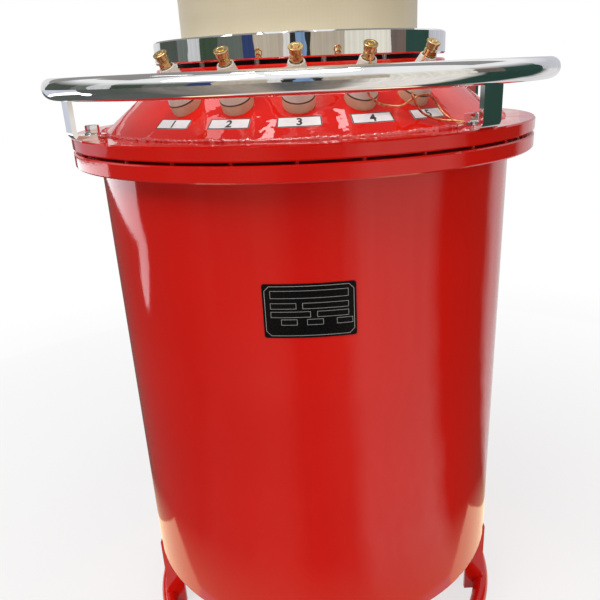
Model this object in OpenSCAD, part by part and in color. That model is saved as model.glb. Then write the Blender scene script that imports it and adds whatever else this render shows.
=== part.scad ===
// Oil-filled high-voltage test transformer. A round tank stands on a ring base, a cone lid with five
// low-voltage terminals is bolted on it, a hand rail goes round the lid, and one tall insulating tube
// stands on the neck. Front is -Y, up is +Z, millimetres, floor at z = 0.

/* [Base] */
// diameter of the round tube of the base ring
base_tube_d = 22; // [18:1:26]
// clear height from the floor to the underside of the tank
base_h = 117; // [100:1:140]
// how far the ring's centre line lies outside the tank wall
base_ring_out = 2; // [0:0.5:4]
// width of a channel leg along the ring
leg_w = 140; // [110:2:150]
// depth of a channel leg towards the middle
leg_depth = 26; // [22:1:34]
// plate thickness of a channel leg
leg_t = 6; // [5:0.5:8]
// how deep the ring is let into the leg's web
leg_seat = 2; // [1:0.5:3]

/* [Tank] */
// outside diameter of the tank
tank_d = 500; // [470:2:530]
// height of the tank from its underside to its flange
tank_h = 555; // [480:5:640]
// thickness of the tank wall
tank_wall = 5; // [4:0.5:7]
// thickness of the tank floor
floor_t = 8; // [7:0.5:12]
// radius on the lower edge of the tank floor
floor_edge_r = 5; // [2:0.5:6]

/* [Flanges] */
// how far the flanges stand out from the tank wall
flange_out = 28; // [24:1:34]
// thickness of the tank flange
tank_flange_t = 16; // [12:1:20]
// thickness of the gasket, which is the gap between the flanges
gasket_t = 3; // [2:0.5:5]
// width of the gasket ring
gasket_w = 12; // [8:1:14]
// thickness of the lid flange
lid_flange_t = 14; // [10:1:18]
// small bevel on the flange edges
flange_bevel = 1.5; // [0.5:0.5:3]

/* [Lid] */
// how far the foot of the cone lies inside the tank wall
cone_in = 9; // [4:1:14]
// height of the cone
cone_h = 54; // [46:1:62]
// horizontal thickness of the cone plate
cone_t = 8; // [5:0.5:10]
// thickness of the neck plate
neck_t = 12; // [8:1:16]

/* [Insulating tube] */
// outside diameter of the tube as a share of the tank's diameter
tube_share = 0.56; // [0.54:0.005:0.58]
// width of the clamp ring round the tube; the neck plate under it has the same edge
clamp_w = 33; // [30:1:36]
// wall of the tube
tube_wall = 8; // [6:0.5:12]
// height of the tube above the neck gasket
tube_h = 500; // [400:10:600]
// gap between the neck plate and the clamp ring
neck_gap = 4.5; // [3:0.5:6]
// height of the clamp ring
clamp_h = 24; // [20:1:30]
// width of the tube's foot collar under the clamp ring
collar_w = 10; // [6:1:12]
// height of the tube's foot collar
collar_h = 10; // [6:1:14]
// running clearance around the tube and its collar in the clamp ring
clamp_clear = 0.4; // [0.2:0.1:0.8]

/* [Shield cap] */
// how far the rounded rim of the shield cap stands out from the tube
cap_out = 18; // [10:1:30]
// height of the shield cap
cap_h = 44; // [36:2:60]
// depth of the cap's spigot inside the tube
cap_spigot_h = 20; // [10:1:30]
// clearance of the spigot in the tube
cap_clear = 0.5; // [0.2:0.1:1]
// diameter of the high-voltage stud
hv_stud_d = 12; // [8:1:16]
// free length of the high-voltage stud above its nut
hv_stud_l = 26; // [18:1:40]

/* [Terminals] */
// number 1 to 5 from left to right: angle of the middle terminal from the front
term_mid_az = -1; // [-4:0.5:4]
// angle between neighbouring terminals
term_step = 17; // [14:0.5:20]
// place of a terminal's foot between the cone's lower edge (0) and the neck (1), measured in plan
term_share = 0.575; // [0.54:0.005:0.6]
// lean of a terminal's axis from upright, a little less than square to the cone
term_lean = 31; // [28:0.5:36]
// diameter of a bushing's foot
bush_d = 32; // [26:1:36]
// height of a bushing's cylindrical foot
bush_foot_h = 8; // [6:0.5:10]
// height of a bushing from the cone to the rim of its cup
bush_h = 42.5; // [38:0.5:48]
// diameter of a bushing's rim
bush_top_d = 16; // [15.5:0.5:18]
// diameter of the cup in a bushing's top
cup_d = 13; // [12:0.5:13.5]
// depth of the cup, which the terminal's nut stands in
cup_h = 3; // [2.5:0.5:5]
// diameter of a terminal stud
stud_d = 8; // [6:0.5:9]
// diameter of a terminal's clamp knob
knob_d = 13.8; // [12.8:0.2:15]

/* [Hand rail] */
// diameter of the rail's round tube
rail_tube_d = 22; // [18:1:26]
// how far the rail's centre line lies outside the flange edge
rail_out = 11; // [8:0.5:14]
// height of the rail's centre line above the lid flange
rail_up = 51; // [44:1:58]
// width of a rail bracket's flat bar
bar_w = 28; // [22:1:34]
// thickness of a rail bracket's flat bar
bar_t = 5; // [4:0.5:6]
// how far a bracket's bar stands clear of the flange edge
bar_gap = 1; // [0.5:0.5:3]
// inside radius of a bracket's bend
bend_r = 4; // [2:0.5:6]
// angle of the front right bracket from the front; the opposite bracket follows it
bracket_az_right = 38.5; // [36:0.5:41]
// angle of the front left bracket from the front; the opposite bracket follows it
bracket_az_left = -60; // [-66:1:-54]

/* [Earth wires] */
// diameter of an earth wire
wire_d = 2.4; // [2:0.1:3]

/* [Hidden] */
round_fn = 96;
tube_fn = 32;
// fit of a bolt in a plain hole and the thread hole of an M8 bolt
bolt_hole_d = 9;
thread_hole_d = 7;
thread_depth = 10;
// overrun of a cutting body beyond the surface that it cuts
over = 1;

// base and tank heights and radii
tank_r = tank_d / 2;
tank_ir = tank_r - tank_wall;
base_ring_r = tank_r + base_ring_out;
leg_face_r = base_ring_r - base_tube_d / 2 + leg_seat;
leg_az = [0, 90, 180, 270];
// under the ring a leg is cut away from here outwards, so that no thin edge is left
leg_cut_r = base_ring_r - base_tube_d / 2 * cos(45);
tank_floor_top = base_h + floor_t;
tank_top = base_h + tank_h;

// flange stack
flange_r = tank_r + flange_out;
tank_flange_top = tank_top + tank_flange_t;
gasket_top = tank_flange_top + gasket_t;
lid_top = gasket_top + lid_flange_t;

// cone lid and neck
cone_r = tank_r - cone_in;
tube_r = tank_d * tube_share / 2;
neck_r = tube_r + clamp_w;
cone_top = lid_top + cone_h;
cone_slope = atan(cone_h / (cone_r - neck_r));
neck_top = cone_top + neck_t;
neck_ir = neck_r - cone_t;
tube_foot = neck_top + neck_gap;
neck_seal_w = 16;

// insulating tube, clamp ring and cap
tube_ir = tube_r - tube_wall;
tube_top = tube_foot + tube_h;
clamp_r = neck_r;
clamp_bevel = 1.5;
cap_r = tube_r + cap_out;
cap_edge_r = cap_h / 2;
cap_wall = 6;
cap_top = tube_top + cap_h;
hv_boss_d = 40;
hv_boss_h = 8;
hv_nut_af = 19;
hv_nut_h = 9;

// low-voltage terminals
term_in = (cone_r - neck_r) * term_share;
term_r = cone_r - term_in;
term_z = lid_top + term_in * tan(cone_slope);
bush_groove = 1;
bush_sink = 5;
rim_bevel = 0.5;
cup_floor = bush_h - cup_h;
// window in the front of the cup's wall
slot_w = 4.6;
slot_h = 1.8;
stud_in = 22;
// nut over its corners, with clearance in the cup
cup_clear = 0.4;
nut_d = cup_d - 2 * cup_clear;
nut_h = 8.3;
// waist between nut and knob, where a wire is clamped
waist_d = 9;
waist_h = 1.7;
waist_z = cup_floor + nut_h;
wire_clamp_z = waist_z + waist_h / 2;
// knob with a disc, and the stud's end in a countersink in its top
knob_body_d = 11.8;
knob_body_h = 4.6;
knob_edge = 0.8;
knob_disc_h = 2.4;
sink_d = 9.2;
sink_h = 0.8;
stud_end_d = 6;
stud_end_out = 0.6;
knob_z = waist_z + waist_h;
disc_z = knob_z + knob_body_h;
knob_top = disc_z + knob_disc_h;

// hand rail and brackets
rail_r = flange_r + rail_out;
rail_z = lid_top + rail_up;
bar_in_r = flange_r + bar_gap;
bar_out_r = bar_in_r + bar_t;
bolt_in = 18;
bracket_bolt_r = flange_r - bolt_in;
bend_out_r = bend_r + bar_t;
bracket_az = [bracket_az_right, bracket_az_right + 180, bracket_az_left, bracket_az_left + 180];

// earth wires: route points are [angle from the front, distance down, height up], beside a terminal square
// to its axis and along it, on the lid along the cone and square to it
wire_sides = 8;
wire_steps = 4;
wire_ref = [-0.36, 0.70, 0.62];
wire_sink = 0.2;
wire_foot_z = lid_top + bar_t + wire_d / 2 - wire_sink;
term_4_az = term_mid_az + term_step;
term_5_az = term_mid_az + 2 * term_step;
wire_1_top = [
    [term_4_az, 4.5, wire_clamp_z],
    [term_4_az - 0.5, 10.5, bush_h],
    [term_4_az - 0.7, 14, bush_h - 12],
];
wire_1_lid = [
    [term_4_az - 0.5, 16, 21],
    [term_4_az + 2.5, 18, 10],
    [term_4_az + 6, 20, 7],
    [term_4_az + 8.5, 23, 9],
    [term_5_az - 6.5, 24, 17],
    [term_5_az - 4.5, 24, 21],
    [term_5_az - 1, 21, 18],
    [term_5_az + 2, 19, 11],
    [term_5_az + 3.5, 24, 6],
    [bracket_az_right - 1.7, 36, 5],
];
wire_1_foot = [[-20, -4, 2], [-7, 0, 0]];
wire_2_top = [
    [term_5_az - 1, 2.5, wire_clamp_z],
    [term_5_az - 2.5, 5.5, bush_h + 1],
    [term_5_az - 4, 10, bush_h - 9],
];
wire_2_lid = [
    [term_5_az - 6, 18, 29],
    [term_5_az - 7, 24, 23],
    [term_5_az - 6.5, 28, 19],
    [term_5_az - 4.5, 30, 10],
    [term_5_az - 2.5, 35, 6],
    [term_5_az + 0.7, 42, 5],
];
wire_2_foot = [[-12, -11, 1.6], [-4, -5, 0]];

function unit(v) = v / norm(v);
function polar(r, az, z) = [r * sin(az), -r * cos(az), z];
// point from its angle, its distance down from a terminal's foot and its height up, both turned by a lean
function lean_point(p, lean) = polar(
    term_r + p[1] * cos(lean) + p[2] * sin(lean),
    p[0],
    term_z - p[1] * sin(lean) + p[2] * cos(lean));
// point on the right bracket's foot from its offsets to the bolt: outwards, sideways and up
function foot_point(p) =
    polar(bracket_bolt_r + p[0], bracket_az_right, wire_foot_z + p[2])
    + p[1] * [cos(bracket_az_right), sin(bracket_az_right), 0];
// smooth curve through four route points
function curve(a, b, c, d, t) =
    0.5 * (2 * b + (c - a) * t + (2 * a - 5 * b + 4 * c - d) * t * t
    + (3 * b - a - 3 * c + d) * t * t * t);
function whole_route(top, lid, foot) = concat(
    [for (q = top) lean_point(q, term_lean)],
    [for (q = lid) lean_point(q, cone_slope)],
    [for (q = foot) foot_point(q)]);
function at_end(p, i) = p[max(0, min(len(p) - 1, i))];
function route(p) = concat(
    [for (i = [0:len(p) - 2]) for (k = [0:wire_steps - 1])
        curve(at_end(p, i - 1), p[i], p[i + 1], at_end(p, i + 2), k / wire_steps)],
    [p[len(p) - 1]]);
function heading(p, i) = unit(at_end(p, i + 1) - at_end(p, i - 1));
function ring(p, i, r) =
    let (t = heading(p, i), u = unit(cross(wire_ref, t)), v = cross(t, u))
    [for (k = [0:wire_sides - 1])
        p[i] + r * (u * cos(360 * k / wire_sides) + v * sin(360 * k / wire_sides))];

module tube_ring(r, z, d) {
    translate([0, 0, z])
        rotate_extrude($fn = round_fn)
            translate([r, 0])
                circle(d = d, $fn = tube_fn);
}

// ring with bevelled outer edges
module flat_ring(r_in, r_out, z, h, bevel) {
    translate([0, 0, z])
        rotate_extrude($fn = round_fn)
            polygon([[r_in, 0], [r_out - bevel, 0], [r_out, bevel], [r_out, h - bevel],
                [r_out - bevel, h], [r_in, h]]);
}

module base_ring() {
    color([0.78, 0.1, 0.1])
        tube_ring(base_ring_r, base_tube_d / 2, base_tube_d);
}

// channel leg with its web outwards; the base ring is welded into the seat in the web
module leg(az) {
    color([0.78, 0.1, 0.1])
        difference() {
            rotate([0, 0, az])
                translate([0, -leg_face_r, 0])
                    linear_extrude(base_h)
                        difference() {
                            translate([-leg_w / 2, 0])
                                square([leg_w, leg_depth]);
                            translate([-leg_w / 2 + leg_t, leg_t])
                                square([leg_w - 2 * leg_t, leg_depth]);
                        }
            tube_ring(base_ring_r, base_tube_d / 2, base_tube_d);
            translate([0, 0, -over])
                rotate_extrude($fn = round_fn)
                    translate([leg_cut_r, 0])
                        square([base_tube_d, base_tube_d / 2 + over]);
        }
}

module leg_front() {
    leg(leg_az[0]);
}

module leg_right() {
    leg(leg_az[1]);
}

module leg_back() {
    leg(leg_az[2]);
}

module leg_left() {
    leg(leg_az[3]);
}

module tank_floor() {
    color([0.8, 0.1, 0.1])
        translate([0, 0, base_h])
            rotate_extrude($fn = round_fn) {
                square([tank_r - floor_edge_r, floor_t]);
                translate([0, floor_edge_r])
                    square([tank_r, floor_t - floor_edge_r]);
                intersection() {
                    translate([tank_r - floor_edge_r, floor_edge_r])
                        circle(r = floor_edge_r, $fn = tube_fn);
                    square([tank_r, floor_edge_r]);
                }
            }
}

module tank_wall_shell() {
    color([0.8, 0.1, 0.1])
        translate([0, 0, tank_floor_top])
            difference() {
                cylinder(h = tank_top - tank_floor_top, r = tank_r, $fn = round_fn);
                translate([0, 0, -over])
                    cylinder(h = tank_top - tank_floor_top + 2 * over, r = tank_ir, $fn = round_fn);
            }
}

module tank_flange() {
    color([0.8, 0.1, 0.1])
        flat_ring(tank_ir, flange_r, tank_top, tank_flange_t, flange_bevel);
}

module flange_gasket() {
    color([0.05, 0.05, 0.05])
        flat_ring(tank_ir, tank_ir + gasket_w, tank_flange_top, gasket_t, 0);
}

// places a body on a bracket's bolt axis with its origin on the lid flange
module at_bracket_bolt(az) {
    rotate([0, 0, az])
        translate([0, -bracket_bolt_r, lid_top])
            children();
}

module lid_flange() {
    color([0.8, 0.1, 0.1])
        difference() {
            flat_ring(cone_r - cone_t, flange_r, gasket_top, lid_flange_t, flange_bevel);
            for (az = bracket_az)
                at_bracket_bolt(az)
                    translate([0, 0, -thread_depth])
                        cylinder(h = thread_depth + over, d = thread_hole_d, $fn = tube_fn);
        }
}

// places a terminal body leaning outwards, its origin on the cone's surface
module at_terminal(n) {
    rotate([0, 0, term_mid_az + (n - 3) * term_step])
        translate([0, -term_r, term_z])
            rotate([term_lean, 0, 0])
                children();
}

module lid_cone() {
    color([0.8, 0.1, 0.1])
        difference() {
            rotate_extrude($fn = round_fn)
                polygon([[cone_r - cone_t, lid_top], [cone_r, lid_top], [neck_r, cone_top],
                    [neck_ir, cone_top]]);
            for (n = [1:5])
                at_terminal(n)
                    cylinder(h = 4 * cone_t, d = stud_d, center = true, $fn = tube_fn);
        }
}

module neck_plate() {
    color([0.8, 0.1, 0.1])
        flat_ring(tube_ir - neck_seal_w / 2, neck_r, cone_top, neck_t, flange_bevel);
}

module neck_gasket() {
    color([0.05, 0.05, 0.05])
        flat_ring(tube_ir, tube_ir + neck_seal_w, neck_top, neck_gap, 0);
}

// polished ring that holds the tube's foot collar down on the gasket
module clamp_ring() {
    color([0.75, 0.76, 0.78])
        difference() {
            flat_ring(tube_r + clamp_clear, clamp_r, tube_foot, clamp_h, clamp_bevel);
            translate([0, 0, tube_foot - over])
                cylinder(h = collar_h + over, r = tube_r + collar_w + clamp_clear, $fn = round_fn);
        }
}

module insulating_tube() {
    color([0.9, 0.87, 0.76])
        rotate_extrude($fn = round_fn)
            polygon([[tube_ir, tube_foot], [tube_r + collar_w, tube_foot],
                [tube_r + collar_w, tube_foot + collar_h], [tube_r, tube_foot + collar_h],
                [tube_r, tube_top], [tube_ir, tube_top]]);
}

// hollow metal cap with a fully rounded rim; its spigot centres it in the tube
module shield_cap() {
    color([0.75, 0.76, 0.78])
        difference() {
            union() {
                translate([0, 0, tube_top])
                    rotate_extrude($fn = round_fn) {
                        square([cap_r - cap_edge_r, cap_h]);
                        intersection() {
                            translate([cap_r - cap_edge_r, cap_edge_r])
                                circle(r = cap_edge_r, $fn = tube_fn);
                            square([cap_r, cap_h]);
                        }
                    }
                translate([0, 0, tube_top - cap_spigot_h])
                    cylinder(h = cap_spigot_h, r = tube_ir - cap_clear, $fn = round_fn);
            }
            translate([0, 0, tube_top - cap_spigot_h - over])
                cylinder(h = cap_h + cap_spigot_h + over - cap_wall, r = tube_ir - cap_clear - cap_wall,
                    $fn = round_fn);
        }
}

// brass boss, nut and stud for the high-voltage lead
module hv_terminal() {
    color([0.75, 0.55, 0.25])
        translate([0, 0, cap_top]) {
            cylinder(h = hv_boss_h, d = hv_boss_d, $fn = round_fn);
            cylinder(h = hv_boss_h + hv_nut_h, d = hv_nut_af / cos(30), $fn = 6);
            cylinder(h = hv_boss_h + hv_nut_h + hv_stud_l, d = hv_stud_d, $fn = tube_fn);
        }
}

// tapered insulator with a cup in its top; its foot is cut to the cone and a groove parts foot and taper
module bushing(n) {
    color([0.88, 0.82, 0.68])
        difference() {
            at_terminal(n)
                difference() {
                    rotate_extrude($fn = round_fn)
                        polygon([[stud_d / 2, -bush_sink], [bush_d / 2, -bush_sink],
                            [bush_d / 2, bush_foot_h], [bush_d / 2 - bush_groove, bush_foot_h],
                            [bush_d / 2 - bush_groove, bush_foot_h + bush_groove],
                            [bush_d / 2 - bush_groove / 2, bush_foot_h + bush_groove],
                            [bush_top_d / 2, bush_h - rim_bevel], [bush_top_d / 2 - rim_bevel, bush_h],
                            [cup_d / 2, bush_h], [cup_d / 2, cup_floor], [stud_d / 2, cup_floor]]);
                    translate([-slot_w / 2, -bush_d / 2, cup_floor])
                        cube([slot_w, bush_d / 2, slot_h]);
                }
            translate([0, 0, lid_top])
                cylinder(h = cone_h, r1 = cone_r, r2 = neck_r, $fn = round_fn);
        }
}

module bushing_1() {
    bushing(1);
}

module bushing_2() {
    bushing(2);
}

module bushing_3() {
    bushing(3);
}

module bushing_4() {
    bushing(4);
}

module bushing_5() {
    bushing(5);
}

// brass stud through the bushing with a nut in the cup and a clamp knob on its head
module terminal(n) {
    color([0.8, 0.55, 0.2])
        at_terminal(n) {
            translate([0, 0, -stud_in])
                cylinder(h = stud_in + waist_z, d = stud_d, $fn = tube_fn);
            translate([0, 0, cup_floor])
                cylinder(h = nut_h, d = nut_d, $fn = 6);
            rotate_extrude($fn = round_fn)
                polygon([[0, waist_z], [waist_d / 2, waist_z], [waist_d / 2, knob_z],
                    [knob_body_d / 2 - knob_edge, knob_z], [knob_body_d / 2, knob_z + knob_edge],
                    [knob_body_d / 2, disc_z], [knob_d / 2, disc_z + knob_edge],
                    [knob_d / 2, knob_top - knob_edge / 2], [knob_d / 2 - knob_edge / 2, knob_top],
                    [sink_d / 2, knob_top], [stud_end_d / 2, knob_top - sink_h],
                    [stud_end_d / 2, knob_top + stud_end_out], [0, knob_top + stud_end_out]]);
        }
}

module terminal_1() {
    terminal(1);
}

module terminal_2() {
    terminal(2);
}

module terminal_3() {
    terminal(3);
}

module terminal_4() {
    terminal(4);
}

module terminal_5() {
    terminal(5);
}

module hand_rail() {
    color([0.75, 0.76, 0.78])
        tube_ring(rail_r, rail_z, rail_tube_d);
}

// side view of a bracket: foot on the lid flange, bend, and bar up to the rail
module bracket_profile() {
    foot_end = bracket_bolt_r - bar_w / 2;
    difference() {
        union() {
            translate([foot_end, 0])
                square([bar_out_r - bend_out_r - foot_end, bar_t]);
            translate([bar_in_r, bend_out_r])
                square([bar_t, rail_up - bend_out_r]);
            intersection() {
                translate([bar_out_r - bend_out_r, bend_out_r])
                    circle(r = bend_out_r, $fn = tube_fn);
                translate([bar_out_r - bend_out_r, 0])
                    square(bend_out_r);
            }
        }
        translate([bar_out_r - bend_out_r, bend_out_r])
            circle(r = bend_r, $fn = tube_fn);
    }
}

// flat bar bent to an L, foot rounded and bolted to the lid flange, bar welded under the rail
module rail_bracket(az) {
    color([0.75, 0.76, 0.78])
        difference() {
            rotate([0, 0, az - 90])
                intersection() {
                    translate([0, bar_w / 2, lid_top])
                        rotate([90, 0, 0])
                            linear_extrude(bar_w)
                                bracket_profile();
                    translate([0, 0, lid_top])
                        linear_extrude(rail_up) {
                            translate([bracket_bolt_r, 0])
                                circle(d = bar_w, $fn = round_fn);
                            translate([bracket_bolt_r, -bar_w / 2])
                                square([bar_out_r - bracket_bolt_r, bar_w]);
                        }
                }
            tube_ring(rail_r, rail_z, rail_tube_d);
            at_bracket_bolt(az)
                translate([0, 0, -over])
                    cylinder(h = bar_t + 2 * over, d = bolt_hole_d, $fn = tube_fn);
        }
}

module rail_bracket_1() {
    rail_bracket(bracket_az[0]);
}

module rail_bracket_2() {
    rail_bracket(bracket_az[1]);
}

module rail_bracket_3() {
    rail_bracket(bracket_az[2]);
}

module rail_bracket_4() {
    rail_bracket(bracket_az[3]);
}

// bare copper wire swept along its route points
module wire(points) {
    p = route(points);
    n = len(p);
    s = wire_sides;
    body = [for (i = [0:n - 1]) each ring(p, i, wire_d / 2)];
    sides = [for (i = [0:n - 2]) for (k = [0:s - 1]) each [
        [i * s + k, (i + 1) * s + k, i * s + (k + 1) % s],
        [i * s + (k + 1) % s, (i + 1) * s + k, (i + 1) * s + (k + 1) % s]]];
    first = [[for (k = [0:s - 1]) k]];
    last = [[for (k = [s - 1:-1:0]) (n - 1) * s + k]];
    color([0.75, 0.4, 0.2])
        polyhedron(points = body, faces = concat(sides, first, last));
}

module earth_wire_1() {
    wire(whole_route(wire_1_top, wire_1_lid, wire_1_foot));
}

module earth_wire_2() {
    wire(whole_route(wire_2_top, wire_2_lid, wire_2_foot));
}

base_ring();
leg_front();
leg_right();
leg_back();
leg_left();
tank_floor();
tank_wall_shell();
tank_flange();
flange_gasket();
lid_flange();
lid_cone();
neck_plate();
neck_gasket();
clamp_ring();
insulating_tube();
shield_cap();
hv_terminal();
bushing_1();
bushing_2();
bushing_3();
bushing_4();
bushing_5();
terminal_1();
terminal_2();
terminal_3();
terminal_4();
terminal_5();
hand_rail();
rail_bracket_1();
rail_bracket_2();
rail_bracket_3();
rail_bracket_4();
earth_wire_1();
earth_wire_2();
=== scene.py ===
import math

import bmesh
import bpy
from mathutils import Matrix, Quaternion, Vector


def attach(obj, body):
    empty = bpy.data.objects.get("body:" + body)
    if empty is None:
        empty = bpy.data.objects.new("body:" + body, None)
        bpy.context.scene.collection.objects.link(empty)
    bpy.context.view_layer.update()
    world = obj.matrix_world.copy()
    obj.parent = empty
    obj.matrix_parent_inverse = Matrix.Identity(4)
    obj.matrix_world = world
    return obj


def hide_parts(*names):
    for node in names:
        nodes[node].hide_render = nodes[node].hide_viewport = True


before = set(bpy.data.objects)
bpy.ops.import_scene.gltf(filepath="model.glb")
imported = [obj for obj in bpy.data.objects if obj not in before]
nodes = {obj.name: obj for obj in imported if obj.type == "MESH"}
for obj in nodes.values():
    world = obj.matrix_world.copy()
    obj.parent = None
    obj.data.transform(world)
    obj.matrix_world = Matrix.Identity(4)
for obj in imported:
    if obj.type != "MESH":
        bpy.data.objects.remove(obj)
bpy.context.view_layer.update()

# Base ring and legs. A round steel tube is rolled to a ring that lies on the floor. Four channel legs are
# welded into it and under the tank, and all of it is sprayed with the tank's red enamel.
BASE_RING_RADIUS = 0.252
BASE_RING_TUBE = 0.022
LEG_FACE_RADIUS = 0.243
LEG_WIDTH = 0.140
LEG_DEPTH = 0.026
LEG_HEIGHT = 0.117
LEG_ANGLES = (0, 90, 180, 270)
LEG_BEAD = 0.0028
LEG_SEAT_LIFT = 0.0012
LEG_SEAT_STEPS = 20
FLOOR_FLAT_RADIUS = 0.246
ENAMEL_RED = (0.72, 0.0090, 0.0042, 1)
ENAMEL_DEEP = (0.58, 0.0066, 0.0031, 1)
ENAMEL_IOR = 1.48


def feed(node, inputs):
    """Sets a node's inputs by name or number, each to a plain value or to another node's output."""
    for key, value in inputs.items():
        if isinstance(value, bpy.types.NodeSocket):
            node.id_data.links.new(value, node.inputs[key])
        else:
            node.inputs[key].default_value = value


def named(values):
    """Values under their sockets' names, such as Base Color for base_color."""
    return {word.replace("_", " ").title().replace("Ior", "IOR"): value for word, value in values.items()}


def add_node(tree, kind, inputs=None, **settings):
    """Adds a node to a node tree, with its settings and its inputs, and gives its outputs."""
    made = tree.nodes.new(kind)
    for name, value in settings.items():
        setattr(made, name, value)
    feed(made, inputs or {})
    return made.outputs


def calc(tree, operation, *values):
    """The result of a Math node; each value is a number or another node's output."""
    return add_node(tree, "ShaderNodeMath", dict(enumerate(values)), operation=operation)["Value"]


def remap(tree, value, to_low, to_high, from_low=0.0, from_high=1.0):
    """A value carried over from one range to another."""
    ends = {"From Min": from_low, "From Max": from_high, "To Min": to_low, "To Max": to_high}
    return add_node(tree, "ShaderNodeMapRange", {"Value": value, **ends})["Result"]


def noise(tree, place, scale, detail, roughness=0.5):
    """Soft noise over a place, from 0 to 1."""
    values = {"Vector": place, "Scale": scale, "Detail": detail, "Roughness": roughness}
    return add_node(tree, "ShaderNodeTexNoise", values)["Fac"]


def object_place(tree):
    """Where a point lies in the part's own frame."""
    return add_node(tree, "ShaderNodeTexCoord")["Object"]


def mix_colour(tree, share, first, second, blend="MIX"):
    """Two colours mixed by a share."""
    values = {"Factor": share, "A": first, "B": second}
    return add_node(tree, "ShaderNodeMix", values, data_type="RGBA", blend_type=blend)["Result"]


def bump_normal(tree, height, distance, strength=1.0):
    """The normals of a surface with a height on it; a height of 1 is as deep as the distance, in metres."""
    values = {"Strength": strength, "Distance": distance, "Height": height}
    return add_node(tree, "ShaderNodeBump", values)["Normal"]


def new_tree(name, kind, inputs, outputs):
    """An empty node group with named sockets; returns its tree, its inputs and the node for its outputs."""
    tree = bpy.data.node_groups.new(name, kind)
    for word, socket_kind, value in inputs:
        socket = tree.interface.new_socket(word, in_out="INPUT", socket_type="NodeSocket" + socket_kind)
        if value is not None:
            socket.default_value = value
    for word, socket_kind in outputs:
        tree.interface.new_socket(word, in_out="OUTPUT", socket_type="NodeSocket" + socket_kind)
    return tree, tree.nodes.new("NodeGroupInput").outputs, tree.nodes.new("NodeGroupOutput")


def use_group(tree, group, **values):
    """A node group in a material, with its own values; returns its outputs."""
    return add_node(tree, "ShaderNodeGroup", named(values), node_tree=group)


def new_material(name, **values):
    """A material with plain values on its Principled BSDF; returns it, its tree and that shader."""
    material = bpy.data.materials.new(name)
    material.use_nodes = True
    shader = material.node_tree.nodes["Principled BSDF"]
    feed(shader, named(values))
    return material, material.node_tree, shader


def sprayed_enamel_group():
    """Sprayed enamel: the long waves of the sheet under it, orange peel, and a tone that drifts a little."""
    tree, given, out = new_tree(
        "sprayed_enamel", "ShaderNodeTree",
        [("Colour", "Color", ENAMEL_RED), ("Deep Colour", "Color", ENAMEL_DEEP), ("Wave Scale", "Float", 7.0),
         ("Peel Scale", "Float", 300.0), ("Peel Share", "Float", 0.012), ("Gloss Roughness", "Float", 0.06)],
        [("Colour", "Color"), ("Roughness", "Float"), ("Height", "Float")])
    place = object_place(tree)
    wave = noise(tree, place, given["Wave Scale"], 1.0, 0.35)
    peel = noise(tree, place, given["Peel Scale"], 1.0)
    drift = noise(tree, place, 5.0, 4.0)
    deep_share = remap(tree, drift, 0.0, 0.35, 0.35, 0.7)
    haze = remap(tree, drift, 0.7, 1.4, 0.3, 0.7)
    feed(out, {"Colour": mix_colour(tree, deep_share, given["Colour"], given["Deep Colour"]),
               "Roughness": calc(tree, "MULTIPLY", haze, given["Gloss Roughness"]),
               "Height": calc(tree, "MULTIPLY_ADD", peel, given["Peel Share"], wave)})
    return tree


SPRAYED_ENAMEL = sprayed_enamel_group()


def enamel_material(name, wave_scale, wave_height, gloss_roughness, ior=ENAMEL_IOR, **values):
    """Red enamel on steel; wave_height is how deep the waves of the sheet are, in metres."""
    material, tree, shader = new_material(name, ior=ior)
    paint = use_group(tree, SPRAYED_ENAMEL, wave_scale=wave_scale, gloss_roughness=gloss_roughness, **values)
    feed(shader, {"Base Color": paint["Colour"], "Roughness": paint["Roughness"],
                  "Normal": bump_normal(tree, paint["Height"], wave_height)})
    return material


def dress(material, *names):
    """Gives CAD nodes a material."""
    for name in names:
        nodes[name].data.materials.clear()
        nodes[name].data.materials.append(material)


def end_tree(tree, given, out, geometry):
    """Ends a Geometry Nodes tree: its copies are made real and get the material."""
    real = add_node(tree, "GeometryNodeRealizeInstances", {"Geometry": geometry})
    finish = add_node(tree, "GeometryNodeSetMaterial",
                      {"Geometry": real["Geometry"], "Material": given["Material"]})
    feed(out, {"Geometry": finish["Geometry"]})


def weld_bead_tree():
    """Lays a lumpy, rippled bead along the edges of a mesh."""
    tree, given, out = new_tree(
        "weld_bead", "GeometryNodeTree",
        [("Geometry", "Geometry", None), ("Bead Radius", "Float", 0.003), ("Step", "Float", 0.002),
         ("Lump Scale", "Float", 60.0), ("Lump Share", "Float", 0.3), ("Ripple Pitch", "Float", 0.006),
         ("Ripple Share", "Float", 0.06), ("Material", "Material", None)],
        [("Geometry", "Geometry")])
    line = add_node(tree, "GeometryNodeMeshToCurve", {"Mesh": given["Geometry"]})
    even = add_node(tree, "GeometryNodeResampleCurve",
                    {"Curve": line["Curve"], "Length": given["Step"]}, mode="LENGTH")
    place = add_node(tree, "GeometryNodeInputPosition")["Position"]
    smallest = calc(tree, "SUBTRACT", 1.0, given["Lump Share"])
    lump_size = remap(tree, noise(tree, place, given["Lump Scale"], 2.0), smallest, 1.0, 0.3, 0.7)
    along = add_node(tree, "GeometryNodeSplineParameter")["Length"]
    turns = calc(tree, "DIVIDE", along, given["Ripple Pitch"])
    ripple = calc(tree, "SINE", calc(tree, "MULTIPLY", turns, 2 * math.pi))
    size = calc(tree, "MULTIPLY_ADD", ripple, given["Ripple Share"], lump_size)
    profile = add_node(tree, "GeometryNodeCurvePrimitiveCircle",
                       {"Resolution": 10, "Radius": given["Bead Radius"]})
    bead = add_node(tree, "GeometryNodeCurveToMesh",
                    {"Curve": even["Curve"], "Profile Curve": profile["Curve"],
                     "Scale": size, "Fill Caps": True})
    smooth = add_node(tree, "GeometryNodeSetShadeSmooth", {"Geometry": bead["Mesh"]})
    end_tree(tree, given, out, smooth["Geometry"])
    return tree


WELD_BEAD = weld_bead_tree()


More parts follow.
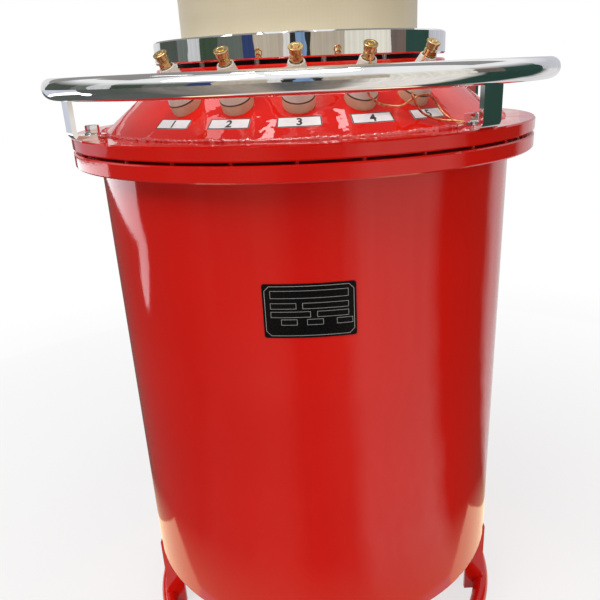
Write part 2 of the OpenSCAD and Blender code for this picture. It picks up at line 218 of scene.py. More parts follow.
def line_mesh(name, runs):
    """A mesh of edges only; each run is a list of points and whether its end joins its start."""
    points, edges = [], []
    for run, closed in runs:
        first = len(points)
        points += run
        edges += [(first + i, first + i + 1) for i in range(len(run) - 1)]
        if closed:
            edges.append((first + len(run) - 1, first))
    mesh = bpy.data.meshes.new(name)
    mesh.from_pydata(points, edges, [])
    return mesh


def around(radius, angle, height):
    """A point at an angle from the front, in degrees, with positive angles to the right."""
    turn = math.radians(angle)
    return Vector((radius * math.sin(turn), -radius * math.cos(turn), height))


def circle_run(radius, height, points=180):
    """A closed run round the upright axis."""
    return [around(radius, 360 * i / points, height) for i in range(points)], True


def add_object(name, data):
    """A new object in the scene."""
    made = bpy.data.objects.new(name, data)
    bpy.context.scene.collection.objects.link(made)
    return made


def set_on_part(piece, slot):
    """Fixes a piece to the part's one body; slot is not used."""
    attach(piece, "root")
    return piece


def grow(name, start_mesh, tree, slot, **sizes):
    """Runs a Geometry Nodes tree on a start mesh and keeps the result as a plain piece of the part."""
    piece = add_object(name, start_mesh)
    modifier = piece.modifiers.new(name, "NODES")
    modifier.node_group = tree
    values = named(sizes)
    for socket in tree.interface.items_tree:
        if socket.in_out == "INPUT" and socket.name in values:
            modifier[socket.identifier] = values[socket.name]
    grown = piece.evaluated_get(bpy.context.evaluated_depsgraph_get())
    piece.data = bpy.data.meshes.new_from_object(grown)
    piece.modifiers.clear()
    piece.data.name = name
    return set_on_part(piece, slot)


def weld(name, runs, material, slot="red_paint", **sizes):
    """Lays weld beads along runs of points."""
    return grow(name, line_mesh(name, runs), WELD_BEAD, slot, material=material, **sizes)


base_enamel = enamel_material("base_enamel", 30, 0.0006, 0.10)
dress(base_enamel, "base_ring", "leg_front", "leg_right", "leg_back", "leg_left")

leg_runs = []
leg_half = LEG_WIDTH / 2
web_reach = math.sqrt(FLOOR_FLAT_RADIUS ** 2 - LEG_FACE_RADIUS ** 2)
side_reach = math.sqrt(FLOOR_FLAT_RADIUS ** 2 - leg_half ** 2)
for leg_angle in LEG_ANGLES:
    facing = Matrix.Rotation(math.radians(leg_angle), 4, "Z")
    top_lines = [((-web_reach, -LEG_FACE_RADIUS), (web_reach, -LEG_FACE_RADIUS))]
    top_lines += [((x, LEG_DEPTH - LEG_FACE_RADIUS), (x, -side_reach)) for x in (-leg_half, leg_half)]
    leg_runs += [([facing @ Vector((x, y, LEG_HEIGHT)) for x, y in line], False) for line in top_lines]
    seat_line = []
    for i in range(LEG_SEAT_STEPS + 1):
        across = LEG_WIDTH * (i / LEG_SEAT_STEPS - 0.5)
        off_centre = BASE_RING_RADIUS - math.hypot(across, LEG_FACE_RADIUS)
        seat_height = BASE_RING_TUBE / 2 + math.sqrt((BASE_RING_TUBE / 2) ** 2 - off_centre ** 2)
        seat_line.append(facing @ Vector((across, -LEG_FACE_RADIUS, seat_height + LEG_SEAT_LIFT)))
    leg_runs.append((seat_line, False))
weld("leg_welds", leg_runs, base_enamel, bead_radius=LEG_BEAD, lump_share=0.25, lump_scale=90.0)

# Tank. A rolled steel sheet with a flat floor and a flange ring welded on, sprayed in glossy red enamel.
# The sheet is a little wavy, which bends what it mirrors.
TANK_RADIUS = 0.250
TANK_TOP = 0.672
FLANGE_BEAD = 0.003
FLANGE_BEAD_OFFSET = 0.0008

tank_enamel = enamel_material("tank_enamel", 5, 0.0035, 0.07)
dress(tank_enamel, "tank_floor", "tank_wall_shell", "tank_flange")
weld("tank_flange_weld", [circle_run(TANK_RADIUS + FLANGE_BEAD_OFFSET, TANK_TOP - FLANGE_BEAD_OFFSET)],
     tank_enamel, bead_radius=FLANGE_BEAD, lump_share=0.3)

# Nameplate. A thin black anodised plate, bent to the tank and stuck on, with a printed silver frame and
# rows of empty boxes.
PLATE_WIDTH = 0.094
PLATE_HEIGHT = 0.057
PLATE_THICKNESS = 0.0008
PLATE_CORNER = 0.0025
PLATE_ANGLE = -0.6
PLATE_CENTRE_HEIGHT = 0.542
PLATE_SUNK = 0.0002
PRINT_LIFT = 0.00006
PRINT_LINE = 0.00045
BOX_LINE = 0.8 * PRINT_LINE
FRAME_INSET = 0.0022
FRAME_CHAMFER = 0.005
FRAME_INNER_CHAMFER = FRAME_CHAMFER - 0.6 * PRINT_LINE
BEND_STEP = 0.004
PLATE_BOXES = ((0.0, 0.0175, 0.078, 0.008), (-0.0262, 0.0055, 0.026, 0.0062), (0.0160, 0.0055, 0.046, 0.0062),
               (-0.0192, -0.0035, 0.040, 0.0062), (0.0232, -0.0035, 0.0316, 0.0062),
               (-0.0209, -0.0117, 0.0162, 0.0062), (0.0052, -0.0117, 0.0164, 0.0062),
               (0.0349, -0.0117, 0.0162, 0.0062))
CORNERS = ((1, -1), (1, 1), (-1, 1), (-1, -1))


def rounded_outline(width, height, corner, steps=5):
    """Points of a rectangle with rounded corners, from the lower right; one step cuts the corners off."""
    points = []
    for turn, (sx, sy) in enumerate(CORNERS):
        for i in range(steps + 1):
            a = math.radians(90 * (turn - 1) + 90 * i / steps)
            points.append((sx * (width / 2 - corner) + corner * math.cos(a),
                           sy * (height / 2 - corner) + corner * math.sin(a)))
    return points


def box_outline(x, y, width, height):
    """Corner points of a rectangle round a centre."""
    return [(x + sx * width / 2, y + sy * height / 2) for sx, sy in CORNERS]


def add_skin(bm, rings):
    """Faces from each ring of points to the next, and one face over each end."""
    rings = [[bm.verts.new(point) for point in ring] for ring in rings]
    for lower, upper in zip(rings, rings[1:]):
        for i in range(len(lower)):
            j = (i + 1) % len(lower)
            bm.faces.new((lower[i], lower[j], upper[j], upper[i]))
    bm.faces.new(rings[0][::-1])
    bm.faces.new(rings[-1])


def add_prism(bm, outline, low, high):
    """A flat body with an outline, from one height to another."""
    add_skin(bm, [[(x, y, z) for x, y in outline] for z in (low, high)])


def add_frame(bm, outer, inner, height, material_index=0):
    """A flat printed line between two outlines with the same number of corners."""
    rings = [[bm.verts.new((x, y, height)) for x, y in outline] for outline in (outer, inner)]
    for i in range(len(outer)):
        j = (i + 1) % len(outer)
        face = bm.faces.new((rings[0][i], rings[0][j], rings[1][j], rings[1][i]))
        face.material_index = material_index


def finished_mesh(name, bm, materials=()):
    """A mesh from a bmesh that is done with, with its materials."""
    mesh = bpy.data.meshes.new(name)
    bm.to_mesh(mesh)
    bm.free()
    for material in materials:
        mesh.materials.append(material)
    return mesh


def bent_piece(name, bm, step, place, materials, slot):
    """Cuts a flat body into strips of a step across x and bends it: place gives each point's final place."""
    reach = max(abs(v.co.x) for v in bm.verts)
    for i in range(-int(reach / step), int(reach / step) + 1):
        bmesh.ops.bisect_plane(bm, geom=bm.verts[:] + bm.edges[:] + bm.faces[:], dist=1e-7,
                               plane_co=(i * step, 0, 0), plane_no=(1, 0, 0))
    for v in bm.verts:
        v.co = place(v.co.x, v.co.y, v.co.z)
    return set_on_part(add_object(name, finished_mesh(name, bm, materials)), slot)


def mottle_group():
    """A tone and a roughness that wander in soft spots from a first to a second value."""
    tree, given, out = new_tree(
        "mottle", "ShaderNodeTree",
        [("Scale", "Float", 100.0), ("Detail", "Float", 3.0), ("First Colour", "Color", None),
         ("Second Colour", "Color", None), ("Tone Start", "Float", 0.0), ("Tone End", "Float", 1.0),
         ("First Roughness", "Float", 0.5), ("Second Roughness", "Float", 0.5),
         ("Gloss Start", "Float", 0.0), ("Gloss End", "Float", 1.0)],
        [("Colour", "Color"), ("Roughness", "Float")])
    spots = noise(tree, object_place(tree), given["Scale"], given["Detail"])
    share = remap(tree, spots, 0.0, 1.0, given["Tone Start"], given["Tone End"])
    feed(out, {"Colour": mix_colour(tree, share, given["First Colour"], given["Second Colour"]),
               "Roughness": remap(tree, spots, given["First Roughness"], given["Second Roughness"],
                                  given["Gloss Start"], given["Gloss End"])})
    return tree


MOTTLE = mottle_group()


def mottled_material(name, scale, detail, first, second, span=(0, 1), gloss=None, gloss_span=(0, 1),
                     **values):
    """A material that wanders between two colours while its noise goes through span. With gloss, a pair of
    values, its roughness wanders too, through gloss_span."""
    material, tree, shader = new_material(name, **values)
    first_roughness, second_roughness = gloss or (0.5, 0.5)
    mottle = use_group(tree, MOTTLE, scale=scale, detail=detail, first_colour=(*first, 1),
                       second_colour=(*second, 1), tone_start=span[0], tone_end=span[1],
                       first_roughness=first_roughness, second_roughness=second_roughness,
                       gloss_start=gloss_span[0], gloss_end=gloss_span[1])
    feed(shader, {"Base Color": mottle["Colour"]})
    if gloss:
        feed(shader, {"Roughness": mottle["Roughness"]})
    return material


def on_tank(x, y, lift):
    """A point of the nameplate, from its place on the flat plate, on the tank wall."""
    turned = PLATE_ANGLE + math.degrees(x / TANK_RADIUS)
    return around(TANK_RADIUS + lift, turned, PLATE_CENTRE_HEIGHT + y)


black_anodised = mottled_material("black_anodised", 900.0, 2.0, (0.0022, 0.0022, 0.0025),
                                  (0.0060, 0.0060, 0.0065), gloss=(0.22, 0.34), ior=1.2)
silver_print = mottled_material("silver_print", 500.0, 3.0, (0.30, 0.30, 0.30), (0.55, 0.55, 0.55),
                                roughness=0.45)
plate = bmesh.new()
add_prism(plate, rounded_outline(PLATE_WIDTH, PLATE_HEIGHT, PLATE_CORNER), -PLATE_SUNK, PLATE_THICKNESS)
bent_piece("nameplate", plate, BEND_STEP, on_tank, [black_anodised], "black_rubber")
plate_print = bmesh.new()
print_height = PLATE_THICKNESS + PRINT_LIFT
frame_width, frame_height = PLATE_WIDTH - 2 * FRAME_INSET, PLATE_HEIGHT - 2 * FRAME_INSET
inner_width, inner_height = frame_width - 2 * PRINT_LINE, frame_height - 2 * PRINT_LINE
add_frame(plate_print, rounded_outline(frame_width, frame_height, FRAME_CHAMFER, 1),
          rounded_outline(inner_width, inner_height, FRAME_INNER_CHAMFER, 1), print_height)
for box_x, box_y, box_width, box_height in PLATE_BOXES:
    add_frame(plate_print, box_outline(box_x, box_y, box_width, box_height),
              box_outline(box_x, box_y, box_width - 2 * BOX_LINE, box_height - 2 * BOX_LINE), print_height)
bent_piece("nameplate_print", plate_print, BEND_STEP, on_tank, [silver_print], "polished_aluminium")

# Lid. A flange ring and a rolled cone, welded together and sprayed like the tank, with the paint lying
# thick and uneven over the weld. A rubber ring seals the lid on the tank flange.
CONE_FOOT_RADIUS = 0.241
CONE_TOP_RADIUS = 0.173
LID_TOP = 0.705
CONE_HEIGHT = 0.054
CONE_SLOPE = math.atan2(CONE_HEIGHT, CONE_FOOT_RADIUS - CONE_TOP_RADIUS)
CONE_TOP = LID_TOP + CONE_HEIGHT
CONE_FOOT_BEAD = 0.0040
CONE_FOOT_BEAD_OUT = 0.0006
CONE_FOOT_BEAD_UP = 0.0002
CONE_TOP_BEAD = 0.0016
CONE_TOP_BEAD_IN = 0.0004
THICK_ENAMEL_IOR = 2.2
LID_PEEL = {"peel_scale": 110.0, "peel_share": 0.03}
FLANGE_CHIPS = ((0.272, -0.032, 0.0020), (0.281, -0.019, 0.0016), (0.280, -0.038, 0.0018),
                (0.247, -0.104, 0.0022), (0.253, -0.100, 0.0016), (0.259, -0.095, 0.0018))
CHIP_COLOUR = (0.09, 0.035, 0.030, 1)


def chipped_enamel_material():
    """The lid flange's enamel, with a few small dark marks where the paint is knocked off."""
    material = enamel_material("flange_enamel", 16, 0.0022, 0.05, **LID_PEEL)
    tree = material.node_tree
    shader = tree.nodes["Principled BSDF"]
    place = object_place(tree)
    edge = None
    for x, y, size in FLANGE_CHIPS:
        away = add_node(tree, "ShaderNodeVectorMath", {0: place, 1: (x, y, LID_TOP)}, operation="DISTANCE")
        share = calc(tree, "DIVIDE", away["Value"], size)
        edge = share if edge is None else calc(tree, "MINIMUM", edge, share)
    frayed = calc(tree, "MULTIPLY_ADD", noise(tree, place, 400.0, 2.0), 1.4, edge)
    chip = remap(tree, frayed, 1.0, 0.0, 1.25, 1.45)
    paint_colour = shader.inputs["Base Color"].links[0].from_socket
    feed(shader, {"Base Color": mix_colour(tree, chip, paint_colour, CHIP_COLOUR)})
    return material


lid_enamel = enamel_material("lid_enamel", 16, 0.0030, 0.02, **LID_PEEL)
dress(lid_enamel, "lid_cone", "neck_plate")
dress(chipped_enamel_material(), "lid_flange")
seal_rubber = mottled_material("seal_rubber", 300.0, 3.0, (0.006, 0.006, 0.007), (0.025, 0.024, 0.023),
                               roughness=0.6)
dress(seal_rubber, "flange_gasket", "neck_gasket")
weld_enamel = enamel_material("weld_enamel", 60, 0.0030, 0.02, THICK_ENAMEL_IOR,
                              peel_scale=260.0, peel_share=0.2)
weld("cone_foot_weld", [circle_run(CONE_FOOT_RADIUS + CONE_FOOT_BEAD_OUT, LID_TOP + CONE_FOOT_BEAD_UP)],
     weld_enamel, bead_radius=CONE_FOOT_BEAD, lump_share=0.6, lump_scale=110.0, ripple_share=0.12)
weld("cone_top_weld", [circle_run(CONE_TOP_RADIUS - CONE_TOP_BEAD_IN, CONE_TOP)], lid_enamel,
     bead_radius=CONE_TOP_BEAD, lump_share=0.3)

# Lid studs and neck studs. Steel studs draw the lid down on its seal and show only in the gap between the
# flanges, sprayed over with the lid. Bare studs in the gap above the neck plate hold the clamp ring.
LID_STUDS = 28
LID_STUD_RING = 0.268
LID_STUD_START = -1.6
LID_STUD_RADIUS = 0.0025
TANK_FLANGE_TOP = 0.688
LID_FLANGE_UNDER = 0.691
NECK_STUDS = 15
NECK_STUD_RING = 0.160
NECK_STUD_START = 8.2
NECK_STUD_RADIUS = 0.0030
NECK_TOP = 0.771
CLAMP_UNDER = 0.7755
STUD_SUNK = 0.0005
STUD_SIDES = 16


def ring_of_fasteners_tree():
    """Sets copies of the start mesh at even steps round the upright axis, each turned with its x outwards."""
    tree, given, out = new_tree(
        "ring_of_fasteners", "GeometryNodeTree",
        [("Geometry", "Geometry", None), ("Count", "Int", 8), ("Ring Radius", "Float", 0.2),
         ("Start Turn", "Float", 0.0), ("Step Turn", "Float", 0.5), ("Material", "Material", None)],
        [("Geometry", "Geometry")])
    number = add_node(tree, "GeometryNodeInputIndex")["Index"]
    turn = calc(tree, "MULTIPLY_ADD", number, given["Step Turn"], given["Start Turn"])
    heading = add_node(tree, "ShaderNodeCombineXYZ",
                       {"X": calc(tree, "COSINE", turn), "Y": calc(tree, "SINE", turn)})
    place = add_node(tree, "ShaderNodeVectorMath",
                     {0: heading["Vector"], "Scale": given["Ring Radius"]}, operation="SCALE")
    points = add_node(tree, "GeometryNodePoints",
                      {"Count": given["Count"], "Position": place["Vector"]})
    spin = add_node(tree, "ShaderNodeCombineXYZ", {"Z": turn})
    facing = add_node(tree, "FunctionNodeEulerToRotation", {"Euler": spin["Vector"]})
    copies = add_node(tree, "GeometryNodeInstanceOnPoints",
                      {"Points": points[0], "Instance": given["Geometry"],
                       "Rotation": facing["Rotation"]})
    end_tree(tree, given, out, copies["Instances"])
    return tree


RING_OF_FASTENERS = ring_of_fasteners_tree()


def add_turned(bm, profile, sides=24):
    """A body turned round z from a profile of (radius, height) from its lower end to its upper end."""
    turns = [2 * math.pi * i / sides for i in range(sides)]
    add_skin(bm, [[(radius * math.cos(a), radius * math.sin(a), height) for a in turns]
                  for radius, height in profile])


def fastener_ring(name, bm, count, radius, start, material, slot):
    """A ring of like fasteners; start is the angle of the first one from the front, in degrees."""
    bmesh.ops.recalc_face_normals(bm, faces=bm.faces[:])
    return grow(name, finished_mesh(name, bm), RING_OF_FASTENERS, slot, count=count, ring_radius=radius,
                start_turn=math.radians(start - 90), step_turn=2 * math.pi / count, material=material)


zinc_steel = mottled_material("zinc_steel", 220.0, 4.0, (0.22, 0.21, 0.20), (0.42, 0.41, 0.39),
                              gloss=(0.22, 0.42), metallic=1.0)
lid_stud = bmesh.new()
add_turned(lid_stud, ((LID_STUD_RADIUS, TANK_FLANGE_TOP - STUD_SUNK),
                      (LID_STUD_RADIUS, LID_FLANGE_UNDER + STUD_SUNK)), STUD_SIDES)
fastener_ring("lid_studs", lid_stud, LID_STUDS, LID_STUD_RING, LID_STUD_START, lid_enamel, "red_paint")
neck_stud = bmesh.new()
add_turned(neck_stud, ((NECK_STUD_RADIUS, NECK_TOP - STUD_SUNK),
                       (NECK_STUD_RADIUS, CLAMP_UNDER + STUD_SUNK)), STUD_SIDES)
fastener_ring("neck_studs", neck_stud, NECK_STUDS, NECK_STUD_RING, NECK_STUD_START, zinc_steel,
              "polished_steel")

# Terminal labels. White vinyl with a thin printed frame and a plain number, stuck on the cone below each
# terminal.
LABEL_WIDTH = 0.042
LABEL_HEIGHT = 0.0135
LABEL_CORNER = 0.0008
LABEL_RADIUS = 0.2225
LABEL_ANGLES = (-35.3, -18.5, -1.0, 17.1, 33.6)
LABEL_THICKNESS = 0.0002
LABEL_SUNK = 0.0002
LABEL_LINE = 0.0010
LABEL_FRAME_INSET = 0.0001
VINYL_SPAN = (0.3, 0.65)
NUMBER_HEIGHT = 0.0096
NUMBER_BOLD = 0.03


def number_mesh(text, height):
    """The flat mesh of a number, centred and of a height."""
    curve = bpy.data.curves.new("number", "FONT")
    curve.body = text
    curve.resolution_u = 3
    curve.offset = NUMBER_BOLD
    holder = add_object("number", curve)
    flat = bpy.data.meshes.new_from_object(holder.evaluated_get(bpy.context.evaluated_depsgraph_get()))
    bpy.data.objects.remove(holder)
    xs, ys = [v.co.x for v in flat.vertices], [v.co.y for v in flat.vertices]
    scale = height / (max(ys) - min(ys))
    middle = Vector(((max(xs) + min(xs)) / 2, (max(ys) + min(ys)) / 2, 0))
    flat.transform(Matrix.Scale(scale, 4) @ Matrix.Translation(-middle))
    return flat


def on_cone_at(angle):
    """Gives the function that places a flat label's points on the cone, centred at an angle."""
    def place(x, y, lift):
        radius = LABEL_RADIUS - y * math.cos(CONE_SLOPE)
        height = LID_TOP + (CONE_FOOT_RADIUS - radius) * math.tan(CONE_SLOPE)
        turned = angle + math.degrees(x / LABEL_RADIUS)
        return around(radius + lift * math.sin(CONE_SLOPE), turned, height + lift * math.cos(CONE_SLOPE))
    return place


label_white = mottled_material("label_white", 90.0, 4.0, (0.75, 0.73, 0.74), (0.83, 0.81, 0.82), VINYL_SPAN,
                               roughness=0.45)
label_ink = mottled_material("label_ink", 90.0, 4.0, (0.008, 0.008, 0.010), (0.016, 0.016, 0.018), VINYL_SPAN,
                             roughness=0.5)
line_width, line_height = LABEL_WIDTH - 2 * LABEL_FRAME_INSET, LABEL_HEIGHT - 2 * LABEL_FRAME_INSET
for number, label_angle in enumerate(LABEL_ANGLES, 1):
    label = bmesh.new()
    label_outline = rounded_outline(LABEL_WIDTH, LABEL_HEIGHT, LABEL_CORNER, 2)
    add_prism(label, label_outline, -LABEL_SUNK, LABEL_THICKNESS)
    add_frame(label, box_outline(0, 0, line_width, line_height),
              box_outline(0, 0, line_width - 2 * LABEL_LINE, line_height - 2 * LABEL_LINE),
              LABEL_THICKNESS + PRINT_LIFT, 1)
    digit = number_mesh(str(number), NUMBER_HEIGHT)
    first_face = len(label.faces)
    label.from_mesh(digit)
    label.faces.ensure_lookup_table()
    for face in label.faces[first_face:]:
        face.material_index = 1
        for corner in face.verts:
            corner.co.z = LABEL_THICKNESS + PRINT_LIFT
    bpy.data.meshes.remove(digit)
    bent_piece(f"label_{number}", label, BEND_STEP, on_cone_at(label_angle), [label_white, label_ink],
               "cream_resin")

# Clamp ring, hand rail and rail brackets. Steel, ground and chrome plated to a mirror, with a faint haze
# from polishing. The rail's tube is welded on the bars and each bracket is screwed to the lid flange.
RAIL_BRACKET_ANGLES = (38.5, 218.5, -60.0, 120.0)
BAR_INNER_RADIUS = 0.279
BAR_OUTER_RADIUS = 0.284
BAR_WIDTH = 0.028
BAR_THICKNESS = 0.005
RAIL_RADIUS = 0.289
RAIL_HEIGHT = 0.756
RAIL_TUBE = 0.022
RAIL_BEAD = 0.0014
RAIL_BEAD_STEPS = 12
BRACKET_SCREW_RING = 0.260
WASHER_RADIUS = 0.0085
WASHER_THICKNESS = 0.0016
SCREW_HEAD_ACROSS = 0.013
SCREW_HEAD_HEIGHT = 0.0078
HEAD_FACE_SHARE = 0.95
HAZE_SPAN = (0.35, 0.75)


def add_hexagon_head(bm, across, foot, height, sides=24):
    """A hexagon head that stands on z = foot, with its upper edge chamfered at 30 degrees."""
    face_radius = HEAD_FACE_SHARE * across / 2
    rings = [[], [], []]
    for i in range(sides):
        a = 2 * math.pi * i / sides
        corner = across / 2 / math.cos(a % (math.pi / 3) - math.pi / 6)
        drop = (corner - face_radius) * math.tan(math.radians(30))
        for ring, radius, level in zip(rings, (corner, corner, face_radius), (0.0, height - drop, height)):
            ring.append((radius * math.cos(a), radius * math.sin(a), foot + level))
    add_skin(bm, rings)


mirror_chrome = mottled_material("mirror_chrome", 26.0, 5.0, (0.84, 0.84, 0.85), (0.74, 0.74, 0.75),
                                 HAZE_SPAN, (0.015, 0.06), HAZE_SPAN, metallic=1.0)
dress(mirror_chrome, "clamp_ring", "hand_rail",
      "rail_bracket_1", "rail_bracket_2", "rail_bracket_3", "rail_bracket_4")

rail_weld_runs = []
for bracket_angle in RAIL_BRACKET_ANGLES:
    facing = Matrix.Rotation(math.radians(bracket_angle), 4, "Z")
    for bar_radius in (BAR_INNER_RADIUS, BAR_OUTER_RADIUS):
        joint_height = RAIL_HEIGHT - math.sqrt((RAIL_TUBE / 2) ** 2 - (RAIL_RADIUS - bar_radius) ** 2)
        run = [facing @ Vector((BAR_WIDTH * (i / RAIL_BEAD_STEPS - 0.5), -bar_radius, joint_height))
               for i in range(RAIL_BEAD_STEPS + 1)]
        rail_weld_runs.append((run, False))
weld("rail_welds", rail_weld_runs, mirror_chrome, "polished_steel", bead_radius=RAIL_BEAD, step=0.001,
     lump_share=0.4, lump_scale=160.0, ripple_pitch=0.003)
bar_top = LID_TOP + BAR_THICKNESS
for pair in (0, 2):
    bracket_screw = bmesh.new()
    add_turned(bracket_screw, ((WASHER_RADIUS, bar_top), (WASHER_RADIUS, bar_top + WASHER_THICKNESS)))
    add_hexagon_head(bracket_screw, SCREW_HEAD_ACROSS, bar_top + WASHER_THICKNESS, SCREW_HEAD_HEIGHT)
    fastener_ring(f"bracket_screws_{pair // 2 + 1}", bracket_screw, 2, BRACKET_SCREW_RING,
                  RAIL_BRACKET_ANGLES[pair], mirror_chrome, "polished_steel")

# Insulating tube. Glass fibre wound on a mandrel in cream resin, with the faint crossing pattern of its
# winding. The spun aluminium shield cap sits on top.
WINDING_LEAD = 0.14
WINDING_STRANDS = 100
WEAVE_SHARE = 0.03
WEAVE_DEPTH = 0.0002
TUBE_DARK = (0.60, 0.515, 0.355, 1)
TUBE_LIGHT = (0.655, 0.58, 0.425, 1)


def wound_resin_material():
    """Cream resin with two sets of strands that cross, and soft clouds in its tone."""
    material, tree, shader = new_material("wound_resin", roughness=0.38)
    place = object_place(tree)
    parts = add_node(tree, "ShaderNodeSeparateXYZ", {"Vector": place})
    angle = calc(tree, "ARCTAN2", parts["Y"], parts["X"])
    strands = []
    for lead in (WINDING_LEAD, -WINDING_LEAD):
        climb = calc(tree, "MULTIPLY_ADD", angle, lead, parts["Z"])
        strands.append(calc(tree, "SINE", calc(tree, "MULTIPLY", climb, WINDING_STRANDS / WINDING_LEAD)))
    weave = calc(tree, "MULTIPLY", *strands)
    cloud = noise(tree, place, 14.0, 4.0)
    share = remap(tree, calc(tree, "MULTIPLY_ADD", weave, WEAVE_SHARE, cloud), 0.0, 1.0, 0.25, 0.8)
    feed(shader, {"Base Color": mix_colour(tree, share, TUBE_DARK, TUBE_LIGHT),
                  "Normal": bump_normal(tree, weave, WEAVE_DEPTH, 0.08)})
    return material


dress(wound_resin_material(), "insulating_tube")
spun_aluminium = mottled_material("spun_aluminium", 40.0, 5.0, (0.80, 0.81, 0.82), (0.70, 0.71, 0.72),
                                  HAZE_SPAN, (0.14, 0.24), HAZE_SPAN, metallic=1.0)
dress(spun_aluminium, "shield_cap")

# Bushings. Cast resin cones with a darker foot that is bedded on the lid, parted by a thin groove, and a cup
# in the top for the terminal's nut. The foot's warm tan is partly the resin's own colour and partly painted
# red bounce light from the cone, and the groove's dark line is painted shade.
TERMINAL_RADIUS = 0.2019
TERMINAL_HEIGHT = 0.73605
TERMINAL_LEAN = math.radians(31)
BUSHING_HEIGHT = 0.0425
# Painted shade: the groove's recess is coloured dark brown where shade falls in it.
GROOVE_SHADE_COLOUR = (0.13, 0.06, 0.035)
# The foot's stops are partly the resin's own tan and partly painted red bounce light from the cone; the
# groove's stops are painted shade.
BUSHING_ZONES = ((0.0, (0.63, 0.45, 0.30)), (0.182, (0.68, 0.51, 0.36)), (0.189, GROOVE_SHADE_COLOUR),
                 (0.211, GROOVE_SHADE_COLOUR), (0.220, (0.65, 0.60, 0.53)), (1.0, (0.74, 0.70, 0.63)))


def axis_distance(tree, parts):
    """How far a point is from the upright axis, from its separate coordinates."""
    level = add_node(tree, "ShaderNodeCombineXYZ", {"X": parts["X"], "Y": parts["Y"]})
    return add_node(tree, "ShaderNodeVectorMath", {0: level["Vector"]}, operation="LENGTH")["Value"]


def height_along_terminal_group():
    """How far up a point stands along the leaning axis of its terminal, in metres."""
    tree, _, out = new_tree("height_along_terminal", "ShaderNodeTree", [], [("Height", "Float")])
    parts = add_node(tree, "ShaderNodeSeparateXYZ", {"Vector": object_place(tree)})
    outwards, upwards = math.sin(TERMINAL_LEAN), math.cos(TERMINAL_LEAN)
    foot = TERMINAL_RADIUS * outwards + TERMINAL_HEIGHT * upwards
    across = calc(tree, "MULTIPLY_ADD", axis_distance(tree, parts), outwards, -foot)
    feed(out, {"Height": calc(tree, "MULTIPLY_ADD", parts["Z"], upwards, across)})
    return tree


HEIGHT_ALONG_TERMINAL = height_along_terminal_group()


def colour_ramp(tree, value, stops, interpolation="LINEAR"):
    """A colour that runs through stops, each a position from 0 to 1 and a colour."""
    made = add_node(tree, "ShaderNodeValToRGB", {"Fac": value})["Color"]
    ramp = made.node.color_ramp
    ramp.interpolation = interpolation
    ramp.elements.remove(ramp.elements[1])
    ramp.elements[0].position = stops[0][0]
    ramp.elements[0].color = (*stops[0][1], 1)
    for position, colour in stops[1:]:
        ramp.elements.new(position).color = (*colour, 1)
    return made


def bushing_material():
    """Resin in zones along the terminal's axis: a foot whose tan is partly painted red bounce light from the
    cone, a groove coloured as painted shade, and a body, with soft clouds in its tone.
    """
    material, tree, shader = new_material("bushing_resin", roughness=0.32)
    height = use_group(tree, HEIGHT_ALONG_TERMINAL)["Height"]
    zones = colour_ramp(tree, calc(tree, "MULTIPLY", height, 1 / BUSHING_HEIGHT), BUSHING_ZONES)
    shade = remap(tree, noise(tree, object_place(tree), 120.0, 4.0), 0.86, 1.08)
    feed(shader, {"Base Color": mix_colour(tree, 1.0, zones, shade, "MULTIPLY")})
    return material


dress(bushing_material(), "bushing_1", "bushing_2", "bushing_3", "bushing_4", "bushing_5")

# Terminals. Brass studs with a hexagon nut in the bushing's cup and a turned clamp knob, bright in some
# spots and browner in others, with fine marks from the lathe.
LATHE_PITCH = 0.0005
LATHE_DEPTH = 0.00004

turned_brass = mottled_material("turned_brass", 160.0, 4.0, (0.50, 0.33, 0.11), (0.72, 0.58, 0.32),
                                (0.3, 0.62), (0.34, 0.16), metallic=1.0)
brass_tree = turned_brass.node_tree
lathe_turns = calc(brass_tree, "MULTIPLY", use_group(brass_tree, HEIGHT_ALONG_TERMINAL)["Height"],
                   2 * math.pi / LATHE_PITCH)
lathe_normal = bump_normal(brass_tree, calc(brass_tree, "SINE", lathe_turns), LATHE_DEPTH, 0.2)
feed(brass_tree.nodes["Principled BSDF"], {"Normal": lathe_normal})
dress(turned_brass, "hv_terminal", "terminal_1", "terminal_2", "terminal_3", "terminal_4", "terminal_5")

# Earth wires. Seven bare copper strands twisted together, clamped under the knobs of terminals 4 and 5 and
# under the screw of the front right rail bracket.
WIRE_DIAMETER = 0.0024
STRAND_RADIUS = 0.00040
STRAND_RING = 0.00080
WIRE_LAY = 0.011
WIRE_CLAMP_HEIGHT = 0.04865
WIRE_PRESSED = 0.0002
WIRE_FOOT_HEIGHT = LID_TOP + BAR_THICKNESS + WIRE_DIAMETER / 2 - WIRE_PRESSED
ROUTE_STEPS = 12


def over_lid(angle, down, up, lean=CONE_SLOPE):
    """A point at an angle, down from the terminals' foot and up from it, along the cone or a lean."""
    return around(TERMINAL_RADIUS + down * math.cos(lean) + up * math.sin(lean), angle,
                  TERMINAL_HEIGHT - down * math.sin(lean) + up * math.cos(lean))


def over_bracket_foot(outwards, sideways, up):
    """A point from its offsets to the screw of the front right bracket."""
    turn = math.radians(RAIL_BRACKET_ANGLES[0])
    return (around(BRACKET_SCREW_RING + outwards, RAIL_BRACKET_ANGLES[0], WIRE_FOOT_HEIGHT + up)
            + sideways * Vector((math.cos(turn), math.sin(turn), 0)))


def smooth_route(points, steps):
    """A smooth curve through route points."""
    route = []
    for i in range(len(points) - 1):
        a, b = points[max(i - 1, 0)], points[i]
        c, d = points[i + 1], points[min(i + 2, len(points) - 1)]
        for k in range(steps):
            t = k / steps
            route.append(0.5 * (2 * b + (c - a) * t + (2 * a - 5 * b + 4 * c - d) * t * t
                                + (3 * b - a - 3 * c + d) * t ** 3))
    return route + [points[-1]]


def frames_along(line):
    """Each point of a line, with two directions square to the line that don't twist along it."""
    across = None
    for i, point in enumerate(line):
        heading = (line[min(i + 1, len(line) - 1)] - line[max(i - 1, 0)]).normalized()
        if across is None:
            across = heading.orthogonal().normalized()
        else:
            across = (across - across.dot(heading) * heading).normalized()
        yield point, across, heading.cross(across)


